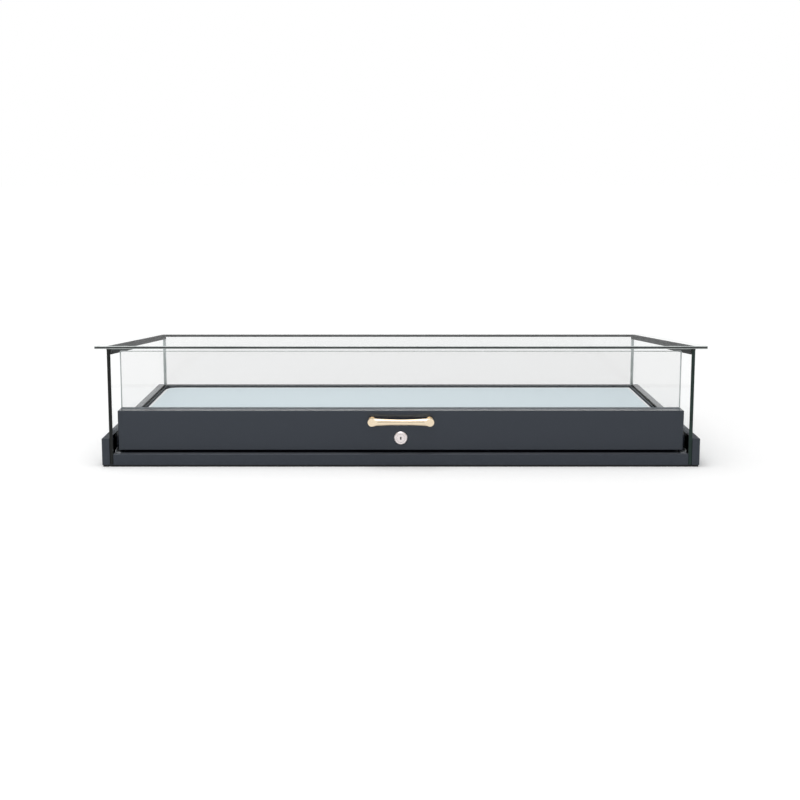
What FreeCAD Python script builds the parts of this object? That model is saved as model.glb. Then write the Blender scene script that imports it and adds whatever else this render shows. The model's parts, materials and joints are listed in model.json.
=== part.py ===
"""Countertop display case: a glazed case with a sloping top and one lockable display drawer.

Millimetres, +Z up. The origin lies on the counter under the middle of the base. The drawer
opens towards -Y. Lengths into the case are measured from the front face of the base.
"""
import FreeCAD, Part
import math
import os
import re
import Sketcher

doc = FreeCAD.newDocument("display_case")

# Driving dimensions
DIMENSIONS = [
    ("case_width", 1000, "base, outside, left to right"),
    ("case_depth", 550, "base, outside, front to back"),
    ("plate", 1.5, "steel sheet of the base and of the drawer front"),
    ("thin_plate", 1.2, "steel sheet of the drawer tray"),
    ("edge_radius", 1.2, "rounding of the visible sheet edges"),
    ("foot_height", 3, "rubber strips under the base"),
    ("foot_width", 10, "rubber strips, across"),
    ("rail_width", 13, "outer rails, across"),
    ("rail_top", 48, "top of the outer rails above the counter"),
    ("rail_slot", 3, "slot along the underside of an outer rail"),
    ("front_rail_top", 21.5, "top of the front rail above the counter"),
    ("front_rail_depth", 31.5, "front rail, front to back"),
    ("pane", 6, "thickness of the standing glass"),
    ("top_pane", 5, "thickness of the top glass"),
    ("pane_arris", 1, "bevel on the glass edges"),
    ("bond", 0.1, "adhesive line between panes"),
    ("joint_seal", 2, "dark seal between a standing pane and the top pane"),
    ("seal_leg", 9, "side seals, down the inside of the side panes"),
    ("back_seal_leg", 4.5, "back seal, down the inside of the back pane"),
    ("seal_wall", 1.5, "thickness of those legs"),
    ("top_front", 204, "upper face of the top pane at its front edge"),
    ("top_slope", 5.33, "fall of the top pane away from the drawer side, degrees"),
    ("top_length", 559.4, "top pane along its slope"),
    ("top_overhang", 7.5, "top pane past each side of the base"),
    ("angle_foot", 15, "foot of the inner angles"),
    ("angle_top", 47, "top of the inner angles above the counter"),
    ("drawer_setback", 15, "drawer front behind the front face of the base"),
    ("drawer_width", 950, "drawer front, left to right"),
    ("drawer_bottom", 25, "underside of the drawer front above the counter"),
    ("drawer_top", 92.5, "top of the drawer front above the counter"),
    ("drawer_back", 45, "rear face of the drawer front, from the base front"),
    ("front_pane_width", 946, "glass on the drawer front, left to right"),
    ("front_pane_top", 190.5, "top of that glass above the counter"),
    ("front_pane_seat", 77, "bottom of that glass above the counter"),
    ("channel_wall", 1, "wall of the glazing channel"),
    ("channel_lip", 0.8, "glazing channel above the drawer front"),
    ("tray_width", 940, "drawer tray, outside"),
    ("tray_top", 40, "tray edge above the counter"),
    ("tray_end", 525, "rear of the tray, from the base front"),
    ("deck_width", 956, "display deck, left to right"),
    ("deck_margin", 1.5, "deck behind the drawer front and short of the tray's rear"),
    ("deck_top", 46, "display surface above the counter"),
    ("deck_cover", 3, "padded cover on the deck board"),
    ("deck_skirt", 2, "cover where it wraps down the board"),
    ("deck_skirt_bottom", 40.3, "lower edge of the wrapped cover above the counter"),
    ("deck_round", 2.5, "rounding of the cover's upper edges"),
    ("slide_start", 46, "front end of the slides, from the base front"),
    ("slide_length", 450, "slides, closed"),
    ("slide_travel", 330, "how far the drawer opens"),
    ("slide_middle", 28, "mid-height of the slides above the counter"),
    ("slide_depth", 9.5, "slide, from its support to the tray"),
    ("slide_sheet", 1, "steel strip of the slide members"),
    ("outer_half", 8.5, "outer member, half height"),
    ("outer_reach", 9, "outer member, from its support"),
    ("outer_lip", 1.8, "turned-in lip of the outer member"),
    ("tab_length", 20, "front tab of the outer member, on the front rail"),
    ("tab_height", 5.4, "upright edge of that tab"),
    ("inner_half", 4.2, "inner member, half height"),
    ("inner_reach", 6.3, "inner member, from the tray"),
    ("cage_web", 1.9, "cage web, from the support"),
    ("cage_sheet", 0.7, "strip of the ball cage"),
    ("cage_half", 6.2, "cage, half height"),
    ("cage_reach", 7.2, "cage arms, from the support"),
    ("cage_margin", 1, "play of the cage at each end of its run"),
    ("ball_radius", 1.6, "slide balls"),
    ("ball_offset", 5.2, "ball centres, from the support"),
    ("ball_height", 5.85, "ball centres above and below mid-height"),
    ("handle_height", 76.5, "handle axis above the counter"),
    ("handle_axis", -4.7, "handle axis, from the base front"),
    ("handle_pitch", 96, "handle screws, centre to centre"),
    ("handle_bulb", 7.3, "handle end, radius"),
    ("handle_waist", 5.1, "handle middle, radius"),
    ("handle_post", 4.2, "handle post, radius"),
    ("handle_foot", 6, "foot of a handle post, radius"),
    ("handle_foot_height", 2, "foot of a handle post, height"),
    ("facet_inner", 39, "inner end of a handle end's facet, from the middle"),
    ("facet_outer", 57, "outer end of that facet, from the middle"),
    ("facet_near", 6.1, "facet's inner end in front of the handle axis"),
    ("facet_far", 0.6, "facet's outer end in front of the handle axis"),
    ("lock_height", 45.8, "lock axis above the counter"),
    ("lock_flange", 11.2, "lock flange, radius"),
    ("lock_flange_height", 2.2, "lock flange, proud of the drawer front"),
    ("lock_flange_bevel", 1.2, "bevel round the flange"),
    ("lock_barrel", 9.6, "lock barrel, radius"),
    ("lock_hole", 9.7, "hole for the barrel, radius"),
    ("lock_end", 33, "rear of the lock barrel, from the base front"),
    ("lock_rear_wall", 2.8, "rear wall of the lock barrel"),
    ("plug_radius", 7, "lock plug, radius"),
    ("plug_play", 0.05, "running fit of the plug"),
    ("plug_neck", 4.5, "plug where it leaves the barrel, radius"),
    ("plug_tail", 6, "square tail that carries the cam, across flats"),
    ("plug_bore", 1.6, "bore for the cam screw, radius"),
    ("plug_bore_depth", 8, "bore for the cam screw, depth"),
    ("keyway_width", 2.2, "keyway, across"),
    ("keyway_height", 4.8, "keyway, along"),
    ("keyway_depth", 8, "keyway, into the plug"),
    ("cam_gap", 0.3, "cam behind the barrel"),
    ("cam_plate", 2, "cam thickness"),
    ("cam_reach", 31, "cam, from the lock axis to its tip"),
    ("cam_tail", 8, "cam, behind the lock axis"),
    ("cam_shoulder", 10, "start of the cam's arm, from the lock axis"),
    ("cam_hub", 7, "half width of the cam at the plug"),
    ("cam_arm", 5.5, "half width of the cam's arm"),
    ("cam_slot_margin", 2, "slot under the drawer front, past the cam's ends"),
    ("cam_slot_play", 1, "the same slot, before and behind the cam"),
    ("cam_screw_radius", 1.5, "cam screw"),
    ("cam_screw_head", 4.6, "cam screw's head, radius"),
    ("cam_screw_head_height", 2.6, "cam screw's head, height"),
    ("cam_screw_length", 7, "cam screw in the plug"),
    ("nut_radius", 14, "lock nut, over its corners"),
    ("nut_height", 4, "lock nut"),
]
BALLS_PER_ROW = 3

sheet = doc.addObject("Spreadsheet::Sheet", "Sizes")
for row, (alias, number, meaning) in enumerate(DIMENSIONS, start=1):
    sheet.set(f"A{row}", alias)
    sheet.set(f"B{row}", str(number))
    sheet.setAlias(f"B{row}", alias)
    sheet.set(f"C{row}", meaning)
doc.recompute()

TRIFLE = 0.01
sub_parts = []
SIDES = (("left", -1), ("right", 1))
PLANES = {"XY": ("XY_Plane", 1), "XZ": ("XZ_Plane", -1), "YZ": ("YZ_Plane", 1)}


def bound(expression):
    """The expression with each dimension's name pointed at the sheet."""
    return re.sub(r"\b([a-z][a-z_]*)\b(?!\()", r"Sizes.\1", str(expression))


def size(expression):
    return float(sheet.evalExpression(bound(expression)))


def into(distance):
    """Y of a place measured from the front face of the base."""
    return f"({distance}) - case_depth / 2"


def span(sign, inner, outer):
    """Low and high X of a stretch on the left (-1) or right (+1) side."""
    if sign > 0:
        return inner, outer
    return f"-({outer})", f"-({inner})"


def both(half):
    return f"-({half})", half


def keep(piece, label):
    piece.Label = label
    sub_parts.append(piece)
    return piece


# Sketches
def pin(sketch, kind, geometry, point, expression):
    number = sketch.addConstraint(Sketcher.Constraint(kind, geometry, point, size(expression)))
    sketch.setExpression(f"Constraints[{number}]", bound(expression))


def polygon(sketch, corners):
    first = sketch.GeometryCount
    count = len(corners)
    places = [FreeCAD.Vector(size(u), size(v), 0) for u, v in corners]
    for i in range(count):
        sketch.addGeometry(Part.LineSegment(places[i], places[(i + 1) % count]))
    for i in range(count):
        following = first + (i + 1) % count
        sketch.addConstraint(Sketcher.Constraint("Coincident", first + i, 2, following, 1))
    for i, (u, v) in enumerate(corners):
        pin(sketch, "DistanceX", first + i, 1, u)
        pin(sketch, "DistanceY", first + i, 1, v)


def rectangle(sketch, across, along):
    (left, right), (low, high) = across, along
    polygon(sketch, [(left, low), (right, low), (right, high), (left, high)])


def circle(sketch, u, v, radius):
    centre = FreeCAD.Vector(size(u), size(v), 0)
    round_line = Part.Circle(centre, FreeCAD.Vector(0, 0, 1), size(radius))
    number = sketch.addGeometry(round_line)
    pin(sketch, "DistanceX", number, 3, u)
    pin(sketch, "DistanceY", number, 3, v)
    limit = sketch.addConstraint(Sketcher.Constraint("Radius", number, size(radius)))
    sketch.setExpression(f"Constraints[{limit}]", bound(radius))


def new_sketch(body, plane, along_normal):
    role, sense = PLANES[plane]
    sketch = body.newObject("Sketcher::SketchObject", f"{body.Name}_sketch")
    support = [feature for feature in body.Origin.OriginFeatures if feature.Role == role]
    sketch.AttachmentSupport = [(support[0], "")]
    sketch.MapMode = "FlatFace"
    sketch.setExpression("AttachmentOffset.Base.z", bound(f"{sense} * ({along_normal})"))
    return sketch


# Features of a body
def new_body(label):
    return keep(doc.addObject("PartDesign::Body", label), label)


def extrude(body, kind, plane, stretch, outline, *sizes):
    """Pad or Pocket of an outline over a stretch of the axis square to the plane."""
    low, high = stretch
    starts_low = (kind == "Pad") == (PLANES[plane][1] > 0)
    sketch = new_sketch(body, plane, low if starts_low else high)
    outline(sketch, *sizes)
    feature = body.newObject(f"PartDesign::{kind}", f"{body.Name}_{kind.lower()}")
    feature.Profile = sketch
    feature.setExpression("Length", bound(f"({high}) - ({low})"))
    return feature


def pad(body, plane, stretch, outline, *sizes):
    return extrude(body, "Pad", plane, stretch, outline, *sizes)


def pocket(body, plane, stretch, outline, *sizes):
    doc.recompute()
    before = body.Shape.Volume
    feature = extrude(body, "Pocket", plane, stretch, outline, *sizes)
    doc.recompute()
    if body.Shape.Volume > before - TRIFLE:
        raise RuntimeError(f"{body.Label}: a pocket removed nothing")
    return feature


def circles(sketch, centres, radius):
    for u, v in centres:
        circle(sketch, u, v, radius)


def dress(body, kind, amount, wanted):
    """Fillet or Chamfer of the edges whose middle and direction pass the test."""
    doc.recompute()
    solid = body.Tip
    names = []
    for number, edge in enumerate(solid.Shape.Edges, start=1):
        middle = edge.valueAt((edge.FirstParameter + edge.LastParameter) / 2)
        direction = edge.tangentAt(edge.FirstParameter)
        if edge.Curve.TypeId == "Part::GeomLine" and wanted(middle, direction):
            names.append(f"Edge{number}")
    feature = body.newObject(f"PartDesign::{kind}", f"{body.Name}_{kind.lower()}")
    feature.Base = (solid, names)
    feature.setExpression("Radius" if kind == "Fillet" else "Size", bound(amount))
    return feature


def turned(body, x, z, corners):
    """Revolution about a line along Y: each corner is a Y place and a radius."""
    sketch = new_sketch(body, "YZ", x)
    sketch.setExpression("AttachmentOffset.Base.y", bound(z))
    polygon(sketch, corners)
    feature = body.newObject("PartDesign::Revolution", f"{body.Name}_turn")
    feature.Profile = sketch
    feature.ReferenceAxis = (sketch, ["H_Axis"])
    feature.Angle = 360
    return feature


def near(value, expression):
    return abs(value - size(expression)) < TRIFLE


# Plain pieces
def block(label, x, y, z):
    piece = doc.addObject("Part::Box", label)
    for name, axis, (low, high) in zip(("Length", "Width", "Height"), "xyz", (x, y, z)):
        piece.setExpression(name, bound(f"({high}) - ({low})"))
        piece.setExpression(f"Placement.Base.{axis}", bound(low))
    return keep(piece, label)


# Places shared by several pieces
HALF_WIDTH = "case_width / 2"
PANE_OUTSIDE = f"{HALF_WIDTH} - rail_width"
PANE_INSIDE = f"{PANE_OUTSIDE} - pane"
SUPPORT_FACE = f"{PANE_INSIDE} - plate"
PANEL_TOP = "foot_height + plate"
RAIL_BACK_FACE = "case_depth - rail_width"
BACK_PANE_FACE = f"{RAIL_BACK_FACE} - pane"
BACK_PANE_HALF = f"{PANE_INSIDE} - bond"
DRAWER_PLATE_FACE = "drawer_back - plate"
CHANNEL_FRONT = f"{DRAWER_PLATE_FACE} - pane - 2 * channel_wall"
SHELF_TOP = "front_pane_seat - channel_wall"
CAM_FRONT = "lock_end + cam_gap"
CAM_BACK = f"{CAM_FRONT} + cam_plate"


def under_top(distance, gap):
    """Height of a line that lies a gap below the top pane's underside, at a distance into the case."""
    return f"top_front - top_pane / cos(top_slope) - ({gap}) - ({distance}) * tan(top_slope)"


# Base
def outer_rail(label, x, y, long_axis):
    """A closed sheet-metal rail with a slot along its underside."""
    body = new_body(label)
    z = ("foot_height", "rail_top")
    pad(body, "XY", z, rectangle, x, y)

    def inside(stretch):
        return f"({stretch[0]}) + plate", f"({stretch[1]}) - plate"

    pocket(body, "XY", inside(z), rectangle, inside(x), inside(y))
    across = x if long_axis == "Y" else y
    middle = f"(({across[0]}) + ({across[1]})) / 2"
    slot = (f"{middle} - rail_slot / 2", f"{middle} + rail_slot / 2")
    slot_x, slot_y = (slot, inside(y)) if long_axis == "Y" else (inside(x), slot)
    pocket(body, "XY", ("foot_height", PANEL_TOP), rectangle, slot_x, slot_y)
    return body


def side_rails():
    for side, sign in SIDES:
        x = span(sign, PANE_OUTSIDE, HALF_WIDTH)
        body = outer_rail(f"side_rail_{side}", x, (into(0), into("case_depth")), "Y")
        outer_face = f"{sign} * {HALF_WIDTH}"

        def seen(middle, direction):
            on_top = near(middle.z, "rail_top")
            on_outside = near(middle.x, outer_face)
            on_end = near(abs(middle.y), "case_depth / 2")
            return [on_top, on_outside, on_end].count(True) == 2

        dress(body, "Fillet", "edge_radius", seen)


def back_rail():
    y = (into(RAIL_BACK_FACE), into("case_depth"))
    body = outer_rail("back_rail", both(PANE_OUTSIDE), y, "X")

    def seen(middle, direction):
        return near(middle.z, "rail_top") and near(middle.y, "case_depth / 2")

    dress(body, "Fillet", "edge_radius", seen)


def front_rail():
    """An inverted channel that closes the base under the drawer."""
    body = new_body("front_rail")
    front, front_inner = into(0), into("plate")
    back, back_inner = into("front_rail_depth"), into("front_rail_depth - plate")
    under = "front_rail_top - plate"
    corners = [
        (front, "foot_height"),
        (front, "front_rail_top"),
        (back, "front_rail_top"),
        (back, PANEL_TOP),
        (back_inner, PANEL_TOP),
        (back_inner, under),
        (front_inner, under),
        (front_inner, "foot_height"),
    ]
    pad(body, "YZ", both(PANE_INSIDE), polygon, corners)

    def seen(middle, direction):
        return near(middle.y, front) and near(middle.z, "front_rail_top")

    dress(body, "Fillet", "edge_radius", seen)


def base_panel():
    y = (into("plate"), into(RAIL_BACK_FACE))
    block("base_panel", both(PANE_OUTSIDE), y, ("foot_height", PANEL_TOP))


def rubber_strips():
    z = ("0", "foot_height")
    edge = "(rail_width - foot_width) / 2"
    for side, sign in SIDES:
        x = span(sign, f"{PANE_OUTSIDE} + {edge}", f"{HALF_WIDTH} - {edge}")
        block(f"rubber_strip_{side}", x, (into(edge), into(f"case_depth - {edge}")), z)
    block("rubber_strip_front", both(PANE_OUTSIDE), (into("plate"), into("plate + foot_width")), z)
    y = (into(f"{RAIL_BACK_FACE} + {edge}"), into(f"case_depth - {edge}"))
    block("rubber_strip_back", both(PANE_OUTSIDE), y, z)


def slide_supports():
    """Angles on the base panel that carry the slides and hold the side panes."""
    y = (into("front_rail_depth + plate"), into(f"{BACK_PANE_FACE} - 2 * plate"))
    for side, sign in SIDES:
        body = new_body(f"slide_support_{side}")
        corners = [
            (PANE_INSIDE, PANEL_TOP),
            (PANE_INSIDE, "angle_top"),
            (SUPPORT_FACE, "angle_top"),
            (SUPPORT_FACE, f"{PANEL_TOP} + plate"),
            (f"{SUPPORT_FACE} - angle_foot", f"{PANEL_TOP} + plate"),
            (f"{SUPPORT_FACE} - angle_foot", PANEL_TOP),
        ]
        pad(body, "XZ", y, polygon, [(f"{sign} * ({u})", v) for u, v in corners])


def back_glass_angle():
    body = new_body("back_glass_angle")
    leg = (into(f"{BACK_PANE_FACE} - plate"), into(BACK_PANE_FACE))
    pad(body, "XY", (PANEL_TOP, "angle_top"), rectangle, both(SUPPORT_FACE), leg)
    foot = (into(f"{BACK_PANE_FACE} - plate - angle_foot"), into(f"{BACK_PANE_FACE} - plate"))
    foot_half = f"{SUPPORT_FACE} - angle_foot - plate"
    pad(body, "XY", (PANEL_TOP, f"{PANEL_TOP} + plate"), rectangle, both(foot_half), foot)


# Fixed glass
def any_edge(middle, direction):
    return True


def side_glass():
    for side, sign in SIDES:
        body = new_body(f"side_glass_{side}")
        corners = [
            (into(0), PANEL_TOP),
            (into(RAIL_BACK_FACE), PANEL_TOP),
            (into(RAIL_BACK_FACE), under_top(RAIL_BACK_FACE, "joint_seal")),
            (into(0), under_top(0, "joint_seal")),
        ]
        pad(body, "YZ", span(sign, PANE_INSIDE, PANE_OUTSIDE), polygon, corners)

        def front_edge(middle, direction):
            return near(middle.y, into(0)) and abs(direction.z) > 0.9

        dress(body, "Chamfer", "pane_arris", front_edge)


def back_glass():
    body = new_body("back_glass")
    corners = [
        (into(BACK_PANE_FACE), PANEL_TOP),
        (into(RAIL_BACK_FACE), PANEL_TOP),
        (into(RAIL_BACK_FACE), under_top(RAIL_BACK_FACE, "joint_seal")),
        (into(BACK_PANE_FACE), under_top(BACK_PANE_FACE, "joint_seal")),
    ]
    pad(body, "YZ", both(BACK_PANE_HALF), polygon, corners)


def seal_side(front, back, depth):
    """Outline of a strip that lies under the top pane, between two places into the case."""
    return [
        (into(front), under_top(front, depth)),
        (into(back), under_top(back, depth)),
        (into(back), under_top(back, 0)),
        (into(front), under_top(front, 0)),
    ]


def joint_seals():
    """Seals on the upper edges of the standing panes, which also lap down inside them."""
    on_edge = seal_side("0", RAIL_BACK_FACE, "joint_seal")
    down_inside = seal_side("0", f"{BACK_PANE_FACE} - bond", "seal_leg")
    for side, sign in SIDES:
        body = new_body(f"joint_seal_{side}")
        pad(body, "YZ", span(sign, PANE_INSIDE, PANE_OUTSIDE), polygon, on_edge)
        pad(body, "YZ", span(sign, f"{PANE_INSIDE} - seal_wall", PANE_INSIDE), polygon, down_inside)
    on_back = seal_side(BACK_PANE_FACE, RAIL_BACK_FACE, "joint_seal")
    down_back = seal_side(f"{BACK_PANE_FACE} - seal_wall", BACK_PANE_FACE, "back_seal_leg")
    body = new_body("joint_seal_back")
    pad(body, "YZ", both(BACK_PANE_HALF), polygon, on_back)
    pad(body, "YZ", both(f"{PANE_INSIDE} - seal_wall - bond"), polygon, down_back)


def top_glass():
    body = new_body("top_glass")
    run, fall = "top_length * cos(top_slope)", "top_length * sin(top_slope)"
    back_in, down = "top_pane * sin(top_slope)", "top_pane * cos(top_slope)"
    corners = [
        (into(0), "top_front"),
        (into(run), f"top_front - {fall}"),
        (into(f"{run} - {back_in}"), f"top_front - {fall} - {down}"),
        (into(f"-{back_in}"), f"top_front - {down}"),
    ]
    pad(body, "YZ", both(f"{HALF_WIDTH} + top_overhang"), polygon, corners)
    dress(body, "Chamfer", "pane_arris", any_edge)


# Drawer slides
def strip_profile(sign, corners):
    """Corners given as reach from the support and height from the slide's middle."""
    return [(f"{sign} * ({SUPPORT_FACE} - ({u}))", f"slide_middle + {v}") for u, v in corners]


def mirrored(upper):
    """An upper run of corners, followed by its reflection below mid-height."""
    return upper + [(u, f"-({v})") for u, v in reversed(upper)]


TAB_FRONT = "front_rail_depth - tab_length"
TAB_UNDERSIDE = "front_rail_top + bond"


def slide_outer_members():
    """Channels on the supports, each with a tab at its front that lies on the front rail."""
    y = (into("slide_start"), into("slide_start + slide_length"))
    inside = "outer_half - slide_sheet"
    upper = [
        ("slide_sheet", inside),
        ("outer_reach - slide_sheet", inside),
        ("outer_reach - slide_sheet", "outer_half - outer_lip"),
        ("outer_reach", "outer_half - outer_lip"),
        ("outer_reach", "outer_half"),
        ("0", "outer_half"),
    ]
    for side, sign in SIDES:
        body = new_body(f"slide_outer_{side}")
        pad(body, "XZ", y, polygon, strip_profile(sign, mirrored(upper)))
        edge_y = (into(TAB_FRONT), into("slide_start + slide_sheet"))
        edge_z = (TAB_UNDERSIDE, f"{TAB_UNDERSIDE} + tab_height")
        edge_x = span(sign, f"{SUPPORT_FACE} - slide_sheet", SUPPORT_FACE)
        pad(body, "XZ", edge_y, rectangle, edge_x, edge_z)
        tab_y = (into(TAB_FRONT), into("front_rail_depth"))
        tab_z = (TAB_UNDERSIDE, f"{TAB_UNDERSIDE} + slide_sheet")
        tab_x = span(sign, f"{SUPPORT_FACE} - outer_reach", SUPPORT_FACE)
        pad(body, "XY", tab_z, rectangle, tab_x, tab_y)


def slide_inner_members():
    y = (into("slide_start"), into("slide_start + slide_length"))
    inside = "inner_half - slide_sheet"
    upper = [
        ("slide_depth - slide_sheet", inside),
        ("slide_depth - inner_reach", inside),
        ("slide_depth - inner_reach", "inner_half"),
        ("slide_depth", "inner_half"),
    ]
    for side, sign in SIDES:
        body = new_body(f"slide_inner_{side}")
        pad(body, "XZ", y, polygon, strip_profile(sign, mirrored(upper)))


CAGE_FRONT = "slide_start + slide_travel / 2 + cage_margin"
CAGE_LENGTH = "slide_length - slide_travel - 2 * cage_margin"
BALL_PITCH = f"({CAGE_LENGTH}) / {BALLS_PER_ROW}"


def ball_row(body, x, z):
    """A row of balls held in the cage, spread along it."""
    ball = body.newObject("PartDesign::AdditiveSphere", f"{body.Name}_ball")
    ball.setExpression("Radius", bound("ball_radius"))
    for axis, place in zip("xyz", (x, into(f"{CAGE_FRONT} + {BALL_PITCH} / 2"), z)):
        ball.setExpression(f"Placement.Base.{axis}", bound(place))
    along = [feature for feature in body.Origin.OriginFeatures if feature.Role == "Y_Axis"]
    row = body.newObject("PartDesign::LinearPattern", f"{body.Name}_row")
    row.Originals = [ball]
    row.Direction = (along[0], [""])
    row.setExpression("Length", bound(f"{CAGE_LENGTH} - {BALL_PITCH}"))
    row.Occurrences = BALLS_PER_ROW


def ball_cages():
    """A bent strip in each slide, with a row of balls in each of its two arms."""
    y = (into(CAGE_FRONT), into(f"{CAGE_FRONT} + {CAGE_LENGTH}"))
    upper = [
        ("cage_web + cage_sheet", "cage_half - cage_sheet"),
        ("cage_reach", "cage_half - cage_sheet"),
        ("cage_reach", "cage_half"),
        ("cage_web", "cage_half"),
    ]
    for side, sign in SIDES:
        body = new_body(f"ball_cage_{side}")
        pad(body, "XZ", y, polygon, strip_profile(sign, mirrored(upper)))
        for height in both("ball_height"):
            ball_row(body, f"{sign} * ({SUPPORT_FACE} - ball_offset)", f"slide_middle + {height}")


# Drawer
def drawer_front():
    """A folded front, open at the back, with a rebate for the glazing channel along its top."""
    body = new_body("drawer_front")
    half = "drawer_width / 2"
    inner = both(f"{half} - plate")
    y = (into("drawer_setback"), into(DRAWER_PLATE_FACE))
    y_inside = (into("drawer_setback + plate"), into(DRAWER_PLATE_FACE))
    z_inside = ("drawer_bottom + plate", "drawer_top - plate")
    pad(body, "XZ", y, rectangle, both(half), ("drawer_bottom", "drawer_top"))
    pocket(body, "XZ", y_inside, rectangle, inner, z_inside)
    rebate = (into(CHANNEL_FRONT), into(DRAWER_PLATE_FACE))
    pocket(body, "XZ", rebate, rectangle, inner, ("drawer_top - plate", "drawer_top"))
    wall = (into("drawer_setback"), into("drawer_setback + plate"))
    pocket(body, "XZ", wall, circle, "0", "lock_height", "lock_hole")
    cam_slot = ("-cam_tail - cam_slot_margin", "cam_reach + cam_slot_margin")
    cam_way = (into(f"{CAM_FRONT} - cam_slot_play"), into(f"{CAM_BACK} + cam_slot_play"))
    pocket(body, "XY", ("drawer_bottom", "drawer_bottom + plate"), rectangle, cam_slot, cam_way)

    def seen(middle, direction):
        on_front = near(middle.y, into("drawer_setback"))
        on_end = near(abs(middle.x), half)
        on_level = near(middle.z, "drawer_top") or near(middle.z, "drawer_bottom")
        return [on_front, on_end, on_level].count(True) == 2

    dress(body, "Fillet", "edge_radius", seen)


def drawer_back_plate():
    """The plate behind the drawer front, with a folded shelf under the glazing channel."""
    body = new_body("drawer_back_plate")
    y = (into(DRAWER_PLATE_FACE), into("drawer_back"))
    pad(body, "XZ", y, rectangle, both("drawer_width / 2"), ("drawer_bottom", "drawer_top"))
    shelf = (into(f"{CHANNEL_FRONT} - plate"), into(DRAWER_PLATE_FACE))
    shelf_half = "drawer_width / 2 - 2 * plate"
    pad(body, "XY", (f"{SHELF_TOP} - plate", SHELF_TOP), rectangle, both(shelf_half), shelf)


def glazing_channel():
    body = new_body("glazing_channel")
    outer_front, outer_back = into(CHANNEL_FRONT), into(DRAWER_PLATE_FACE)
    inner_front = into(f"{CHANNEL_FRONT} + channel_wall")
    inner_back = into(f"{DRAWER_PLATE_FACE} - channel_wall")
    top = "drawer_top + channel_lip"
    corners = [
        (outer_front, SHELF_TOP),
        (outer_back, SHELF_TOP),
        (outer_back, top),
        (inner_back, top),
        (inner_back, "front_pane_seat"),
        (inner_front, "front_pane_seat"),
        (inner_front, top),
        (outer_front, top),
    ]
    pad(body, "YZ", both("front_pane_width / 2"), polygon, corners)


def front_glass():
    body = new_body("front_glass")
    front = f"{CHANNEL_FRONT} + channel_wall"
    z = ("front_pane_seat", "front_pane_top")
    pad(body, "XZ", (into(front), into(f"{front} + pane")), rectangle, both("front_pane_width / 2"), z)
    dress(body, "Chamfer", "pane_arris", any_edge)


def drawer_tray():
    body = new_body("drawer_tray")
    half = "tray_width / 2"
    y = (into("drawer_back"), into("tray_end"))
    y_inside = (into("drawer_back + thin_plate"), into("tray_end - thin_plate"))
    pad(body, "XY", ("drawer_bottom", "tray_top"), rectangle, both(half), y)
    floor = "drawer_bottom + thin_plate"
    pocket(body, "XY", (floor, "tray_top"), rectangle, both(f"{half} - thin_plate"), y_inside)


DECK_HALF = "deck_width / 2"
DECK_FRONT = "drawer_back + deck_margin"
DECK_BACK = "tray_end - deck_margin"


def deck_board():
    """A board that lies on the tray's edges and reaches out over the slides."""
    y = (into(f"{DECK_FRONT} + deck_skirt"), into(f"{DECK_BACK} - deck_skirt"))
    z = ("tray_top", "deck_top - deck_cover")
    block("deck_board", both(f"{DECK_HALF} - deck_skirt"), y, z)


def deck_cover():
    """The padded cover that wraps over the deck board and down its edges."""
    body = new_body("deck_cover")
    y = (into(DECK_FRONT), into(DECK_BACK))
    board_y = (into(f"{DECK_FRONT} + deck_skirt"), into(f"{DECK_BACK} - deck_skirt"))
    pad(body, "XY", ("deck_skirt_bottom", "deck_top"), rectangle, both(DECK_HALF), y)
    board_z = ("deck_skirt_bottom", "deck_top - deck_cover")
    pocket(body, "XY", board_z, rectangle, both(f"{DECK_HALF} - deck_skirt"), board_y)

    def upper_edge(middle, direction):
        return near(middle.z, "deck_top")

    dress(body, "Fillet", "deck_round", upper_edge)


# Handle
def arc(sketch, centre, radius, start, end):
    """A counterclockwise arc between two angles, in radians."""
    whole = Part.Circle(FreeCAD.Vector(*centre, 0), FreeCAD.Vector(0, 0, 1), radius)
    return sketch.addGeometry(Part.ArcOfCircle(whole, start, end))


HANDLE_SWEEP = (
    "(handle_pitch * handle_pitch / 4 + handle_waist * handle_waist - handle_bulb * handle_bulb)"
    " / (2 * (handle_bulb - handle_waist))"
)


def handle_profile(body):
    """Half section of the bar: round bulbs at the ends, drawn in to a waist by one long arc."""
    sketch = new_sketch(body, "XZ", into("handle_axis"))
    sketch.setExpression("AttachmentOffset.Base.y", bound("handle_height"))
    half, bulb, sweep = size("handle_pitch / 2"), size("handle_bulb"), size(HANDLE_SWEEP)
    above = sweep + size("handle_waist")
    lean = math.atan2(half, above)
    quarter = math.pi / 2
    right = arc(sketch, (half, 0), bulb, 0, quarter + lean)
    waist = arc(sketch, (0, above), sweep, -quarter - lean, lean - quarter)
    left = arc(sketch, (-half, 0), bulb, quarter - lean, 2 * quarter)
    tip = FreeCAD.Vector(half + bulb, 0, 0)
    axis = sketch.addGeometry(Part.LineSegment(-tip, tip))
    for kind, *ends in (
        ("Tangent", right, 2, waist, 2),
        ("Tangent", left, 1, waist, 1),
        ("Coincident", axis, 1, left, 2),
        ("Coincident", axis, 2, right, 1),
    ):
        sketch.addConstraint(Sketcher.Constraint(kind, *ends))
    for end, sign, tip_point in ((right, 1, 1), (left, -1, 2)):
        pin(sketch, "DistanceX", end, 3, f"{sign} * handle_pitch / 2")
        pin(sketch, "DistanceY", end, 3, "0")
        pin(sketch, "DistanceY", end, tip_point, "0")
    for part, radius in ((right, "handle_bulb"), (left, "handle_bulb"), (waist, HANDLE_SWEEP)):
        limit = sketch.addConstraint(Sketcher.Constraint("Radius", part, size(radius)))
        sketch.setExpression(f"Constraints[{limit}]", bound(radius))
    return sketch


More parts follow.
